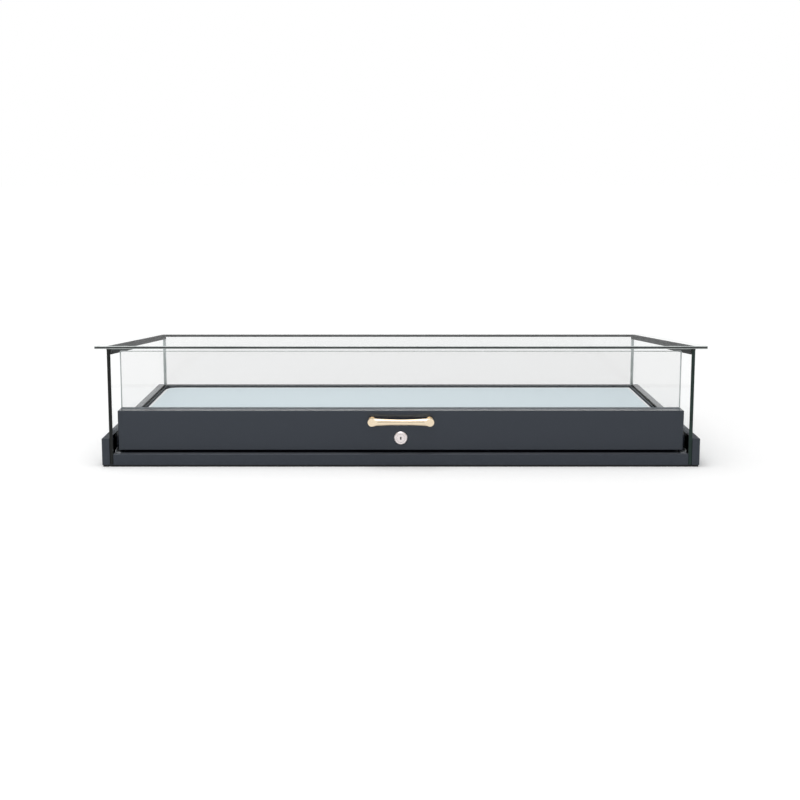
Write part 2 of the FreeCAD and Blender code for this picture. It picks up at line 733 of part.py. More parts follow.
def handle():
    """A turned bar on two posts, with a slanting facet cut across the front of each end."""
    body = new_body("handle")
    sketch = handle_profile(body)
    turn = body.newObject("PartDesign::Revolution", "handle_turn")
    turn.Profile = sketch
    turn.ReferenceAxis = (sketch, ["H_Axis"])
    turn.Angle = 360
    centres = [(f"{sign} * handle_pitch / 2", "handle_height") for _, sign in SIDES]
    pad(body, "XZ", (into("handle_axis"), into("drawer_setback")), circles, centres, "handle_post")
    foot = (into("drawer_setback - handle_foot_height"), into("drawer_setback"))
    pad(body, "XZ", foot, circles, centres, "handle_foot")
    z = ("handle_height - 2 * handle_bulb", "handle_height + 2 * handle_bulb")
    ahead = into("handle_axis - 2 * handle_bulb")
    for _, sign in SIDES:
        facet = [
            (f"{sign} * facet_inner", into("handle_axis - facet_near")),
            (f"{sign} * facet_outer", into("handle_axis - facet_far")),
            (f"{sign} * facet_outer", ahead),
            (f"{sign} * facet_inner", ahead),
        ]
        pocket(body, "XY", z, polygon, facet)


# Cam lock
FLANGE_FACE = "drawer_setback - lock_flange_height"


def lock_housing():
    body = new_body("lock_housing")
    bore = "plug_radius + plug_play"
    neck = "plug_neck + plug_play"
    wall = "lock_end - lock_rear_wall"
    corners = [
        (into(FLANGE_FACE), bore),
        (into(FLANGE_FACE), "lock_flange - lock_flange_bevel"),
        (into(f"{FLANGE_FACE} + lock_flange_bevel"), "lock_flange"),
        (into("drawer_setback"), "lock_flange"),
        (into("drawer_setback"), "lock_barrel"),
        (into("lock_end"), "lock_barrel"),
        (into("lock_end"), neck),
        (into(wall), neck),
        (into(wall), bore),
    ]
    turned(body, "0", "lock_height", corners)


def hexagon(sketch, radius, bore):
    corners = [(f"{radius} * cos({60 * k})", f"lock_height + {radius} * sin({60 * k})") for k in range(6)]
    polygon(sketch, corners)
    circle(sketch, "0", "lock_height", bore)


def lock_nut():
    body = new_body("lock_nut")
    seat = "drawer_setback + plate"
    pad(body, "XZ", (into(seat), into(f"{seat} + nut_height")), hexagon, "nut_radius", "lock_hole")


def lock_plug():
    body = new_body("lock_plug")
    wall = "lock_end - lock_rear_wall"
    face = into(FLANGE_FACE)
    corners = [
        (face, "0"),
        (face, "plug_radius"),
        (into(f"{wall} - cam_gap"), "plug_radius"),
        (into(f"{wall} - cam_gap"), "plug_neck"),
        (into(CAM_FRONT), "plug_neck"),
        (into(CAM_FRONT), "0"),
    ]
    turned(body, "0", "lock_height", corners)
    half = "plug_tail / 2"
    tail = ("lock_height - plug_tail / 2", "lock_height + plug_tail / 2")
    pad(body, "XZ", (into(CAM_FRONT), into(CAM_BACK)), rectangle, both(half), tail)
    keyway = ("lock_height - keyway_height / 2", "lock_height + keyway_height / 2")
    depth = (face, into(f"{FLANGE_FACE} + keyway_depth"))
    pocket(body, "XZ", depth, rectangle, both("keyway_width / 2"), keyway)
    bore = (into(f"{CAM_BACK} - plug_bore_depth"), into(CAM_BACK))
    pocket(body, "XZ", bore, circle, "0", "lock_height", "plug_bore")


def lock_cam():
    """A flat cam: beside the lock axis when unlocked, a quarter turn down when locked."""
    body = new_body("lock_cam")
    side = [
        ("-cam_tail", "cam_hub"),
        ("cam_hub", "cam_hub"),
        ("cam_shoulder", "cam_arm"),
        ("cam_reach", "cam_arm"),
    ]
    corners = [(u, f"lock_height + ({v})") for u, v in mirrored(side)]
    stretch = (into(CAM_FRONT), into(CAM_BACK))
    pad(body, "XZ", stretch, polygon, corners)
    hole = ("lock_height - plug_tail / 2", "lock_height + plug_tail / 2")
    pocket(body, "XZ", stretch, rectangle, both("plug_tail / 2"), hole)


def cam_screw():
    corners = [
        (into(f"{CAM_BACK} - cam_screw_length"), "0"),
        (into(f"{CAM_BACK} - cam_screw_length"), "cam_screw_radius"),
        (into(CAM_BACK), "cam_screw_radius"),
        (into(CAM_BACK), "cam_screw_head"),
        (into(f"{CAM_BACK} + cam_screw_head_height"), "cam_screw_head"),
        (into(f"{CAM_BACK} + cam_screw_head_height"), "0"),
    ]
    turned(new_body("cam_screw"), "0", "lock_height", corners)


# Build
for make in (
    side_rails, back_rail, front_rail, base_panel, rubber_strips,
    slide_supports, back_glass_angle,
    side_glass, back_glass, joint_seals, top_glass,
    slide_outer_members, slide_inner_members, ball_cages,
    drawer_front, drawer_back_plate, glazing_channel, front_glass,
    drawer_tray, deck_board, deck_cover, handle,
    lock_housing, lock_nut, lock_plug, lock_cam, cam_screw,
):
    make()
doc.recompute()

for item in doc.Objects:
    if "Invalid" in item.State or "Error" in item.State:
        raise RuntimeError(f"{item.Label}: {item.State}")
for piece in sub_parts:
    if piece.Shape.isNull() or not piece.Shape.isValid():
        raise RuntimeError(f"{piece.Label}: the shape is not valid")

os.makedirs("parts", exist_ok=True)
for piece in sub_parts:
    piece.Shape.exportStep(f"parts/{piece.Label}.step")
print(len(sub_parts), "sub-parts written")
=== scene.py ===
"""Looks of the countertop display case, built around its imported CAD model. Metres, +Z up."""

import json
import math

import bmesh
import bpy
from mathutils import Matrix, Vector


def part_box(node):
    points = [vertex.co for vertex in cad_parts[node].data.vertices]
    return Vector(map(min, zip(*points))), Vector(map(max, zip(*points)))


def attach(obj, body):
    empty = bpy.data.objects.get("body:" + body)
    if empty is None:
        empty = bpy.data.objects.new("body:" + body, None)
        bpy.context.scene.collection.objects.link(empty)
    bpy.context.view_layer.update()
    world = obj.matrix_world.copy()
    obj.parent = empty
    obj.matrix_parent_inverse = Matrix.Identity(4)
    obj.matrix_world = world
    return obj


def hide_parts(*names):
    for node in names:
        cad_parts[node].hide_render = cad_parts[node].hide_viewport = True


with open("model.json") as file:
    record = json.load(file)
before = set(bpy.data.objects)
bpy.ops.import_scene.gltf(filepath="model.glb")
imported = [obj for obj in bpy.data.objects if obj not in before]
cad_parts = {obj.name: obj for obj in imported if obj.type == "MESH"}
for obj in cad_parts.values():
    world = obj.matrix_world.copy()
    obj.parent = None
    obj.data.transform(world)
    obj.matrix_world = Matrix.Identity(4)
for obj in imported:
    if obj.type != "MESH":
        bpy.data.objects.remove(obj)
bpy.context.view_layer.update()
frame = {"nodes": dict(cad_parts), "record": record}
nodes = frame["nodes"]

MM = 0.001

# Camera: the photograph's viewpoint, as a shifted lens on a 36 mm sensor
CAMERA_PLACE = (-0.0204, -2.4092, 0.4988)
CAMERA_DOWN = 0.1405
LENS = 58.665
SENSOR = 36.0
LENS_SHIFT = (0.01419, -0.06213)
CLIP_END = 100.0

camera_data = bpy.data.cameras.new("camera")
camera_data.lens = LENS
camera_data.sensor_width = SENSOR
camera_data.sensor_fit = "HORIZONTAL"
camera_data.shift_x, camera_data.shift_y = LENS_SHIFT
camera_data.clip_end = CLIP_END
camera = bpy.data.objects.new("camera", camera_data)
camera.location = CAMERA_PLACE
camera.rotation_euler = (math.pi / 2 - CAMERA_DOWN, 0.0, 0.0)
bpy.context.scene.collection.objects.link(camera)
bpy.context.scene.camera = camera
bpy.context.scene.view_settings.view_transform = "Standard"


# Node wiring
class Wiring:
    """Shorthand for the nodes of one material or world."""

    def __init__(self, tree):
        self.tree = tree
        tree.nodes.clear()

    def add(self, kind, **settings):
        node = self.tree.nodes.new(kind)
        for name, value in settings.items():
            setattr(node, name, value)
        return node

    def join(self, source, target):
        self.tree.links.new(source, target)

    def feed(self, socket, value):
        """Link an output into the socket, or set the number on it."""
        if isinstance(value, bpy.types.NodeSocket):
            self.join(value, socket)
        else:
            socket.default_value = value

    def math(self, operation, *values):
        node = self.add("ShaderNodeMath", operation=operation)
        for socket, value in zip(node.inputs, values):
            self.feed(socket, value)
        return node.outputs[0]

    def remap(self, value, low, high, to_low, to_high):
        """A value moved from one range to another, and held inside it."""
        node = self.add("ShaderNodeMapRange")
        limits = {"From Min": low, "From Max": high, "To Min": to_low, "To Max": to_high}
        for name, number in limits.items():
            node.inputs[name].default_value = number
        self.feed(node.inputs["Value"], value)
        return node.outputs["Result"]

    def mix(self, factor, first, second, kind="FLOAT"):
        """A mix of two numbers, or of two colours with the kind RGBA, each given or an output."""
        node = self.add("ShaderNodeMix", data_type=kind)
        self.feed(node.inputs["Factor"], factor)
        self.feed(node.inputs["A"], first)
        self.feed(node.inputs["B"], second)
        return node.outputs["Result"]

    def blend(self, factor, first, second):
        """A mix of two colours."""
        return self.mix(factor, first, second, "RGBA")

    def mix_shaders(self, factor, first, second):
        node = self.add("ShaderNodeMixShader")
        self.join(factor, node.inputs["Fac"])
        self.join(first, node.inputs[1])
        self.join(second, node.inputs[2])
        return node.outputs["Shader"]

    def scaled(self, tone, factor):
        """A colour times a number."""
        node = self.add("ShaderNodeVectorMath", operation="SCALE")
        self.feed(node.inputs[0], tone)
        self.feed(node.inputs["Scale"], factor)
        return node.outputs[0]

    def distance(self, vector):
        """The length of a vector."""
        node = self.add("ShaderNodeVectorMath", operation="LENGTH")
        self.join(vector, node.inputs[0])
        return node.outputs["Value"]

    def axes(self, vector):
        """The X, Y and Z of a vector."""
        node = self.add("ShaderNodeSeparateXYZ")
        self.join(vector, node.inputs["Vector"])
        return node.outputs

    def looking(self, path):
        """1 for the rays that look: from the camera, or on through glass."""
        return self.math("MAXIMUM", path.outputs["Is Camera Ray"], path.outputs["Is Transmission Ray"])

    def places(self, stretch=(1.0, 1.0, 1.0)):
        """Object coordinates in metres, stretched along the axes."""
        coordinates = self.add("ShaderNodeTexCoord")
        mapping = self.add("ShaderNodeMapping")
        mapping.inputs["Scale"].default_value = stretch
        self.join(coordinates.outputs["Object"], mapping.inputs["Vector"])
        return mapping.outputs["Vector"]

    def noise(self, where, scale, detail=2.0, roughness=0.5):
        node = self.add("ShaderNodeTexNoise")
        self.join(where, node.inputs["Vector"])
        node.inputs["Scale"].default_value = scale
        node.inputs["Detail"].default_value = detail
        node.inputs["Roughness"].default_value = roughness
        return node.outputs["Fac"]

    def bump(self, height, strength, distance):
        node = self.add("ShaderNodeBump")
        node.inputs["Strength"].default_value = strength
        node.inputs["Distance"].default_value = distance
        self.feed(node.inputs["Height"], height)
        return node.outputs["Normal"]


def new_material(name):
    """A material with one Principled shader: the material, its wiring and the shader."""
    material = bpy.data.materials.new(name)
    material.use_nodes = True
    wiring = Wiring(material.node_tree)
    shader = wiring.add("ShaderNodeBsdfPrincipled")
    output = wiring.add("ShaderNodeOutputMaterial")
    wiring.join(shader.outputs["BSDF"], output.inputs["Surface"])
    return material, wiring, shader


def colour(red, green, blue):
    return (red, green, blue, 1.0)


WHITE = colour(1.0, 1.0, 1.0)

# World, floor and lamps
BACKGROUND = 1.0
DAYLIGHT = 0.62
FRONT_GLOSS = 0.65
FRONT_TO_BACK = (-0.55, 0.10)
LEVEL_TO_ABOVE = (0.25, 0.80)


def make_world():
    """White behind the case and in its glass; dimmer towards the camera's side for reflections."""
    world = bpy.data.worlds.new("studio")
    bpy.context.scene.world = world
    world.use_nodes = True
    wiring = Wiring(world.node_tree)
    path = wiring.add("ShaderNodeLightPath")
    direction = wiring.add("ShaderNodeTexCoord")
    axes = wiring.axes(direction.outputs["Generated"])
    from_back = wiring.remap(axes["Y"], *FRONT_TO_BACK, FRONT_GLOSS, BACKGROUND)
    from_above = wiring.remap(axes["Z"], *LEVEL_TO_ABOVE, 0.0, BACKGROUND)
    gloss = wiring.math("MAXIMUM", from_back, from_above)
    lit = wiring.mix(path.outputs["Is Glossy Ray"], DAYLIGHT, gloss)
    background = wiring.add("ShaderNodeBackground")
    background.inputs["Color"].default_value = WHITE
    wiring.join(wiring.mix(wiring.looking(path), lit, BACKGROUND), background.inputs["Strength"])
    output = wiring.add("ShaderNodeOutputWorld")
    wiring.join(background.outputs["Background"], output.inputs["Surface"])


FLOOR_REACH = 30.0
FLOOR_DROP = 0.2 * MM
FLOOR_TONE = colour(0.92, 0.92, 0.92)
FLOOR_ROUGHNESS = 0.9
FAR_GLOW = 0.46
NEAR_GLOW = 0.08
KEY_HEIGHT = 2.6


def make_floor():
    """A pale floor that keeps the case's shadow and reads white where the key lamp's light fades."""
    mesh = bpy.data.meshes.new("floor")
    corners = [(-1, -1), (1, -1), (1, 1), (-1, 1)]
    vertices = [(FLOOR_REACH * x, FLOOR_REACH * y, -FLOOR_DROP) for x, y in corners]
    mesh.from_pydata(vertices, [], [(0, 1, 2, 3)])
    floor = bpy.data.objects.new("floor", mesh)
    bpy.context.scene.collection.objects.link(floor)
    material, wiring, shader = new_material("pale_floor")
    shader.inputs["Base Color"].default_value = FLOOR_TONE
    shader.inputs["Roughness"].default_value = FLOOR_ROUGHNESS
    shader.inputs["Specular IOR Level"].default_value = 0.0
    path = wiring.add("ShaderNodeLightPath")
    seen = wiring.math("MAXIMUM", wiring.looking(path), path.outputs["Is Glossy Ray"])
    away = wiring.distance(wiring.places((1.0 / KEY_HEIGHT, 1.0 / KEY_HEIGHT, 0.0)))
    spread = wiring.math("ADD", wiring.math("POWER", away, 2.0), 1.0)
    lamp_share = wiring.math("POWER", spread, -2.0)
    glow = wiring.remap(lamp_share, 0.0, 1.0, FAR_GLOW, NEAR_GLOW)
    shader.inputs["Emission Color"].default_value = WHITE
    wiring.join(wiring.math("MULTIPLY", seen, glow), shader.inputs["Emission Strength"])
    mesh.materials.append(material)


def make_lamp(name, place, target, width, height, power):
    data = bpy.data.lights.new(name, "AREA")
    data.shape = "RECTANGLE"
    data.size = width
    data.size_y = height
    data.energy = power
    lamp = bpy.data.objects.new(name, data)
    lamp.location = place
    lamp.rotation_euler = (Vector(target) - Vector(place)).to_track_quat("-Z", "Y").to_euler()
    bpy.context.scene.collection.objects.link(lamp)


make_world()
make_floor()
make_lamp(
    "key_lamp", place=(-0.3, -0.2, KEY_HEIGHT), target=(0.0, 0.0, 0.0), width=2.0, height=1.6, power=32.0
)
make_lamp(
    "fill_lamp", place=(-1.2, -2.3, 1.4), target=(0.0, -0.2, 0.08), width=1.6, height=1.2, power=6.0
)

# Materials
NOISE_RANGE = (0.3, 0.7)
NOISE_MIDDLE = (0.35, 0.65)
PAINT_DEEP = colour(0.0165, 0.0190, 0.0280)
PAINT_LIGHT = colour(0.0205, 0.0230, 0.0325)
PAINT_SHINE = colour(0.82, 0.92, 1.0)
PAINT_FLECK = (0.93, 1.07)


def slate_paint(name, smoothest, roughest, zone_look=None):
    """Powder coat: slight tone drift, fine orange-peel skin.

    A given zone gets its own tone and dullness: full from its start to its reach, gone at its fade. The
    front rail uses it for a painted highlight, a pale tone on its top edge where the ledge lies in shade,
    and the side rails use it for duller front ends.
    """
    material, wiring, shader = new_material(name)
    where = wiring.places()
    drift = wiring.noise(where, scale=5.0, detail=1.0)
    tone = wiring.blend(drift, PAINT_DEEP, PAINT_LIGHT)
    dullness = wiring.remap(drift, 0.0, 1.0, smoothest, roughest)
    if zone_look is not None:
        ends = (zone_look["start"] + zone_look["reach"], zone_look["start"] + zone_look["fade"])
        zone = wiring.remap(wiring.axes(where)["Y"], *ends, 1.0, 0.0)
        tone = wiring.blend(zone, tone, colour(*zone_look["tone"]))
        dullness = wiring.mix(zone, dullness, zone_look["dullness"])
    fleck = wiring.remap(wiring.noise(where, scale=900.0), *NOISE_MIDDLE, *PAINT_FLECK)
    wiring.join(wiring.scaled(tone, fleck), shader.inputs["Base Color"])
    shader.inputs["Specular Tint"].default_value = PAINT_SHINE
    wiring.join(dullness, shader.inputs["Roughness"])
    peel = wiring.noise(where, scale=1500.0, detail=1.0)
    wiring.join(wiring.bump(peel, strength=0.12, distance=0.05 * MM), shader.inputs["Normal"])
    return material


GLASS_F0 = 0.043
GLASS_INDEX = 1.5
SCHLICK_POWER = 5.0
MIRROR_TONE = colour(0.96, 0.98, 0.975)
MIRROR_ROUGHNESS = (0.015, 0.06)
SMEAR_RANGE = (0.40, 0.75)
# The pane's foot inside the rail: opaque pale grey, painted light over the rail's shaded slot
LIT_FOOT_TOP = 47.8 * MM
LIT_FOOT_FRONT = -241.0 * MM
LIT_FOOT_DEEP = colour(0.30, 0.33, 0.34)
LIT_FOOT_LIGHT = colour(0.42, 0.45, 0.46)
LIT_FOOT_ROUGHNESS = 0.6


def pane_glass(name, mirror, passing, bends=False):
    """A low-reflection pane face, mirroring more at a slant; its foot, below the rail top, is opaque pale
    grey like putty: painted light that lightens the rail's shaded slot seen through the pane.

    With bends, the rays that look through it are bent, and no others.
    """
    material, wiring, shader = new_material(name)
    where = wiring.places()
    smear = wiring.noise(where, scale=7.0, detail=4.0, roughness=0.6)
    shader.inputs["Base Color"].default_value = MIRROR_TONE
    shader.inputs["Metallic"].default_value = 1.0
    wiring.join(wiring.remap(smear, *SMEAR_RANGE, *MIRROR_ROUGHNESS), shader.inputs["Roughness"])
    slant = wiring.add("ShaderNodeLayerWeight")
    slant.inputs["Blend"].default_value = 0.5
    rise = wiring.math("POWER", slant.outputs["Facing"], SCHLICK_POWER)
    share = wiring.remap(rise, 0.0, 1.0, GLASS_F0 * mirror, mirror)
    clear = wiring.add("ShaderNodeBsdfTransparent")
    clear.inputs["Color"].default_value = colour(*passing)
    passed = clear.outputs["BSDF"]
    if bends:
        bent = wiring.add("ShaderNodeBsdfRefraction", distribution="GGX")
        bent.inputs["Color"].default_value = colour(*passing)
        bent.inputs["Roughness"].default_value = 0.0
        bent.inputs["IOR"].default_value = GLASS_INDEX
        path = wiring.add("ShaderNodeLightPath")
        passed = wiring.mix_shaders(wiring.looking(path), passed, bent.outputs["BSDF"])
    glass = wiring.mix_shaders(share, passed, shader.outputs["BSDF"])
    # Painted light: the pale grey foot covers the shaded slot behind the pane
    foot_look = wiring.add("ShaderNodeBsdfPrincipled")
    lumps = wiring.noise(where, scale=120.0, detail=3.0)
    wiring.join(wiring.blend(lumps, LIT_FOOT_DEEP, LIT_FOOT_LIGHT), foot_look.inputs["Base Color"])
    foot_look.inputs["Roughness"].default_value = LIT_FOOT_ROUGHNESS
    axes = wiring.axes(where)
    low = wiring.math("LESS_THAN", axes["Z"], LIT_FOOT_TOP)
    behind = wiring.math("GREATER_THAN", axes["Y"], LIT_FOOT_FRONT)
    with_lit_foot = wiring.mix_shaders(wiring.math("MULTIPLY", low, behind), glass, foot_look.outputs["BSDF"])
    output = wiring.tree.nodes["Material Output"]
    wiring.join(with_lit_foot, output.inputs["Surface"])
    return material


EDGE_STREAKS = (12.0, 12.0, 30.0)
EDGE_DULLER = 0.12


def pane_edge(name, deep, light, roughness, gloss=0.5):
    """A ground and polished glass edge, opaque, with streaks along it; its tone is painted light and
    shade, pale where the edge catches light and dark where it lies in shade.
    """
    material, wiring, shader = new_material(name)
    streak = wiring.noise(wiring.places(EDGE_STREAKS), scale=1.0, detail=4.0, roughness=0.6)
    shade = wiring.remap(streak, *NOISE_MIDDLE, 0.0, 1.0)
    wiring.join(wiring.blend(shade, colour(*deep), colour(*light)), shader.inputs["Base Color"])
    dullness = wiring.remap(streak, *NOISE_RANGE, roughness, roughness + EDGE_DULLER)
    wiring.join(dullness, shader.inputs["Roughness"])
    shader.inputs["Specular IOR Level"].default_value = gloss
    return material


RUBBER_DARKEST = 0.75
RUBBER_SPREAD = 0.08


def rubber(name, tone, roughness):
    """Extruded rubber: dull, with faint bloom and a fine grain."""
    material, wiring, shader = new_material(name)
    where = wiring.places()
    bloom = wiring.noise(where, scale=40.0, detail=3.0)
    darker = tuple(RUBBER_DARKEST * part for part in tone)
    wiring.join(wiring.blend(bloom, colour(*darker), colour(*tone)), shader.inputs["Base Color"])
    dullness = wiring.remap(bloom, *NOISE_RANGE, roughness - RUBBER_SPREAD, roughness + RUBBER_SPREAD)
    wiring.join(dullness, shader.inputs["Roughness"])
    grain = wiring.noise(where, scale=700.0)
    wiring.join(wiring.bump(grain, strength=0.3, distance=0.08 * MM), shader.inputs["Normal"])
    return material


METAL_SMOOTHER = 0.06
METAL_DULLER = 0.08


def metal(name, tone, roughness, grain, drift=0.06):
    """Metal with drawn or brushed lines; grain stretches the lines along its small numbers."""
    material, wiring, shader = new_material(name)
    line = wiring.noise(wiring.places(grain), scale=1.0, detail=3.0, roughness=0.6)
    patch = wiring.noise(wiring.places(), scale=60.0)
    low = tuple(part * (1.0 - drift) for part in tone)
    high = tuple(min(1.0, part * (1.0 + drift)) for part in tone)
    wiring.join(wiring.blend(patch, colour(*low), colour(*high)), shader.inputs["Base Color"])
    shader.inputs["Metallic"].default_value = 1.0
    dullness = wiring.remap(line, *NOISE_RANGE, roughness - METAL_SMOOTHER, roughness + METAL_DULLER)
    wiring.join(dullness, shader.inputs["Roughness"])
    wiring.join(wiring.bump(line, strength=0.15, distance=0.03 * MM), shader.inputs["Normal"])
    return material


LOCK_HEIGHT = 45.8 * MM
PLUG_RADIUS = 7.0 * MM
PLUG_GROOVE = 0.25 * MM
GROOVE_SHADE = 0.35
RING_PITCH = 0.45 * MM
NICKEL_DEEP = colour(0.73, 0.67, 0.665)
NICKEL_LIGHT = colour(0.83, 0.77, 0.765)
NICKEL_ROUGHNESS = (0.20, 0.32)


def turned_nickel():
    """Nickel turned in fine rings about the lock's axis, with a dark line round the plug: painted shade
    for the gap between plug and housing.
    """
    material, wiring, shader = new_material("turned_nickel")
    centred = wiring.add("ShaderNodeVectorMath", operation="SUBTRACT")
    wiring.join(wiring.places((1.0, 0.0, 1.0)), centred.inputs[0])
    centred.inputs[1].default_value = (0.0, 0.0, LOCK_HEIGHT)
    radius = wiring.distance(centred.outputs[0])
    rings = wiring.math("SINE", wiring.math("MULTIPLY", radius, 2.0 * math.pi / RING_PITCH))
    off_groove = wiring.math("ABSOLUTE", wiring.math("SUBTRACT", radius, PLUG_RADIUS))
    groove = wiring.remap(off_groove, 0.5 * PLUG_GROOVE, PLUG_GROOVE, GROOVE_SHADE, 1.0)
    patch = wiring.noise(wiring.places(), scale=300.0, detail=3.0)
    tone = wiring.blend(patch, NICKEL_DEEP, NICKEL_LIGHT)
    wiring.join(wiring.scaled(tone, groove), shader.inputs["Base Color"])
    shader.inputs["Metallic"].default_value = 1.0
    wiring.join(wiring.remap(patch, *NOISE_RANGE, *NICKEL_ROUGHNESS), shader.inputs["Roughness"])
    wiring.join(wiring.bump(rings, strength=0.3, distance=0.03 * MM), shader.inputs["Normal"])
    return material


# The wave texture's pitch at a scale of 1
WAVE_PITCH = 0.314
THREAD_PITCH = 0.9 * MM
THREAD_WOBBLE = 0.6
WEAVE_SHADE = (0.97, 1.03)
CLOTH_ROUGHNESS = (0.62, 0.78)
CLOTH_SHEEN = 0.15


def deck_fabric(name, tone, pale):
    """Matte pale cloth with a fine crossed weave and a soft nap."""
    material, wiring, shader = new_material(name)
    where = wiring.places()
    heights = []
    for direction in ("X", "Y"):
        threads = wiring.add("ShaderNodeTexWave", wave_type="BANDS", bands_direction=direction)
        wiring.join(where, threads.inputs["Vector"])
        threads.inputs["Scale"].default_value = WAVE_PITCH / THREAD_PITCH
        threads.inputs["Distortion"].default_value = THREAD_WOBBLE
        heights.append(threads.outputs["Fac"])
    weave = wiring.math("MULTIPLY", *heights)
    cloud = wiring.noise(where, scale=5.0, detail=4.0, roughness=0.6)
    base = wiring.blend(cloud, colour(*tone), colour(*pale))
    # Darker where the weave is low: painted shade in the hollows between threads
    shade = wiring.remap(weave, 0.0, 1.0, *WEAVE_SHADE)
    wiring.join(wiring.scaled(base, shade), shader.inputs["Base Color"])
    wiring.join(wiring.remap(cloud, *NOISE_RANGE, *CLOTH_ROUGHNESS), shader.inputs["Roughness"])
    shader.inputs["Sheen Weight"].default_value = CLOTH_SHEEN
    wiring.join(wiring.bump(weave, strength=0.35, distance=0.12 * MM), shader.inputs["Normal"])
    return material


FIBRE_STRETCH = (500.0, 900.0, 900.0)
FIBRE_DEEP = colour(0.27, 0.18, 0.10)
FIBRE_LIGHT = colour(0.45, 0.32, 0.19)
FIBRE_ROUGHNESS = (0.72, 0.9)


def fibreboard():
    """Bare fibreboard: brown, with short pale and dark fibres."""
    material, wiring, shader = new_material("bare_fibreboard")
    fibre = wiring.noise(wiring.places(FIBRE_STRETCH), scale=1.0, detail=4.0, roughness=0.7)
    shade = wiring.remap(fibre, *NOISE_RANGE, 0.0, 1.0)
    wiring.join(wiring.blend(shade, FIBRE_DEEP, FIBRE_LIGHT), shader.inputs["Base Color"])
    wiring.join(wiring.remap(fibre, *NOISE_RANGE, *FIBRE_ROUGHNESS), shader.inputs["Roughness"])
    wiring.join(wiring.bump(fibre, strength=0.4, distance=0.1 * MM), shader.inputs["Normal"])
    return material


SATIN = (0.16, 0.24)
MATT = (0.60, 0.72)
ALONG_X = (15.0, 2500.0, 2500.0)
ALONG_Y = (2500.0, 15.0, 2500.0)
looks = {
    "slate_paint": slate_paint("satin_powder_coat", *SATIN),
    "clear_glass": pane_glass("low_reflection_glass", mirror=0.30, passing=(0.946, 0.947, 0.947)),
    "black_rubber": rubber("seal_rubber", tone=(0.012, 0.012, 0.012), roughness=0.8),
    "glazing_rubber": rubber("channel_rubber", tone=(0.42, 0.46, 0.49), roughness=0.45),
    "zinc_steel": metal("zinc_plate", tone=(0.62, 0.64, 0.66), roughness=0.30, grain=ALONG_Y),
    "deck_fabric": deck_fabric("deck_cloth", tone=(0.69, 0.795, 0.845), pale=(0.735, 0.83, 0.875)),
    "deck_core": fibreboard(),
    "champagne_metal": metal(
        "champagne_plate", tone=(0.82, 0.685, 0.50), roughness=0.24, grain=ALONG_X, drift=0.02
    ),
    "nickel": turned_nickel(),
}
top_face = pane_glass("top_pane_glass", mirror=0.10, passing=(0.975, 0.980, 0.979), bends=True)
side_face = pane_glass("side_pane_glass", mirror=0.10, passing=(0.984, 0.986, 0.986))
# Edge tones are painted light and shade: pale for lit edges, grey for the front pane's top edge, near
# black for the top pane's front edge, and dark for the side panes' front edges, the left in deeper
# painted shade than the right, which keeps the glass's green
pale_edge = pane_edge("pale_glass_edge", (0.46, 0.51, 0.50), (0.62, 0.66, 0.65), 0.22)
grey_edge = pane_edge("grey_glass_edge", (0.24, 0.26, 0.26), (0.34, 0.37, 0.37), 0.25)
shaded_front_edge = pane_edge("shaded_glass_edge", (0.030, 0.033, 0.033), (0.048, 0.053, 0.052), 0.30)
black_edge = pane_edge("black_glass_edge", (0.006, 0.007, 0.007), (0.012, 0.014, 0.013), 0.30, gloss=0.2)
teal_edge = pane_edge("teal_glass_edge", (0.010, 0.022, 0.018), (0.020, 0.040, 0.034), 0.30, gloss=0.2)
matt_paint = slate_paint("matt_powder_coat", *MATT)

# Every CAD node gets its slot's look; the sheet inside the case is matt
INNER_SHEET = ("slide_support_left", "slide_support_right", "back_glass_angle", "base_panel")
slot_of = {part["node"]: part["material_slot"] for part in frame["record"]["subparts"]}
for name, node in nodes.items():
    node.data.materials.clear()
    node.data.materials.append(matt_paint if name in INNER_SHEET else looks[slot_of[name]])

# Rail tops: the front rail's top edge gets a painted highlight, a pale tone on the ledge that lies in the
# drawer's shade, and the side rails' front ends are dull
LEVEL = 0.9


def paint_top(name, material):
    """Give the level top of a node its own look."""
    mesh = nodes[name].data
    mesh.materials.append(material)
    for facet in mesh.polygons:
        if facet.normal.z > LEVEL:
            facet.material_index = 1


# Painted highlight: a pale strip along the front rail's top edge
painted_highlight_edge = {
    "start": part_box("front_rail")[0][1],
    "reach": 8.0 * MM,
    "fade": 16.0 * MM,
    "tone": (0.085, 0.090, 0.102),
    "dullness": 0.35,
}
dull_end = {
    "start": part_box("side_rail_left")[0][1],
    "reach": 80.0 * MM,
    "fade": 150.0 * MM,
    "tone": (0.0185, 0.0210, 0.0300),
    "dullness": 0.70,
}
paint_top("front_rail", slate_paint("painted_highlight_powder_coat", *SATIN, zone_look=painted_highlight_edge))
dull_ended = slate_paint("dull_ended_powder_coat", *SATIN, zone_look=dull_end)
paint_top("side_rail_left", dull_ended)
paint_top("side_rail_right", dull_ended)

# Keyway: painted shade, the plug's facets inside the keyway take the black rubber look so that the hole
# reads dark
KEYWAY_HALF = 2.6 * MM
KEYWAY_DEPTH = 12.0 * MM
PLUG_FACE = -260.5 * MM
plug = nodes["lock_plug"].data
plug.materials.append(looks["black_rubber"])
for facet in plug.polygons:
    off_axis = math.hypot(facet.center.x, facet.center.z - LOCK_HEIGHT)
    if off_axis < KEYWAY_HALF and PLUG_FACE < facet.center.y < PLUG_FACE + KEYWAY_DEPTH:
        facet.material_index = 1

